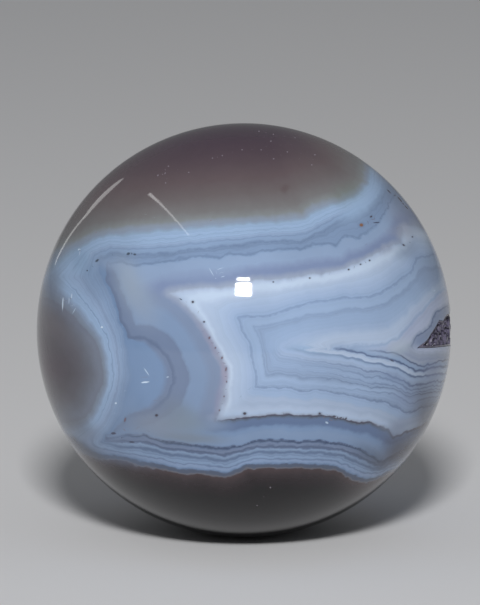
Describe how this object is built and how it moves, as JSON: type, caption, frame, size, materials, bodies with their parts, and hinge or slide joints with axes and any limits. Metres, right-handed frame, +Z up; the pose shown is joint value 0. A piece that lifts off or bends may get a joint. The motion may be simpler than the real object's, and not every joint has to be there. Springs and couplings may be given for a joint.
{
  "type": "banded agate sphere",
  "caption": "Polished ball of blue-grey banded agate with clear brown domes, a small resting flat and an open pocket of quartz crystals in one side.",
  "frame": {"origin": "middle of the resting flat under the ball", "axes": "+Z up from the resting flat through the ball's middle, -Y towards the side where the bands show best, +X towards the crystal pocket"},
  "size_m": [0.0639, 0.064, 0.0635],
  "materials": {
    "agate": "polished",
    "quartz": "gloss"
  },
  "bodies": {
    "root": {"agate_ball": "agate", "quartz_druse": "quartz"}
  },
  "joints": []
}
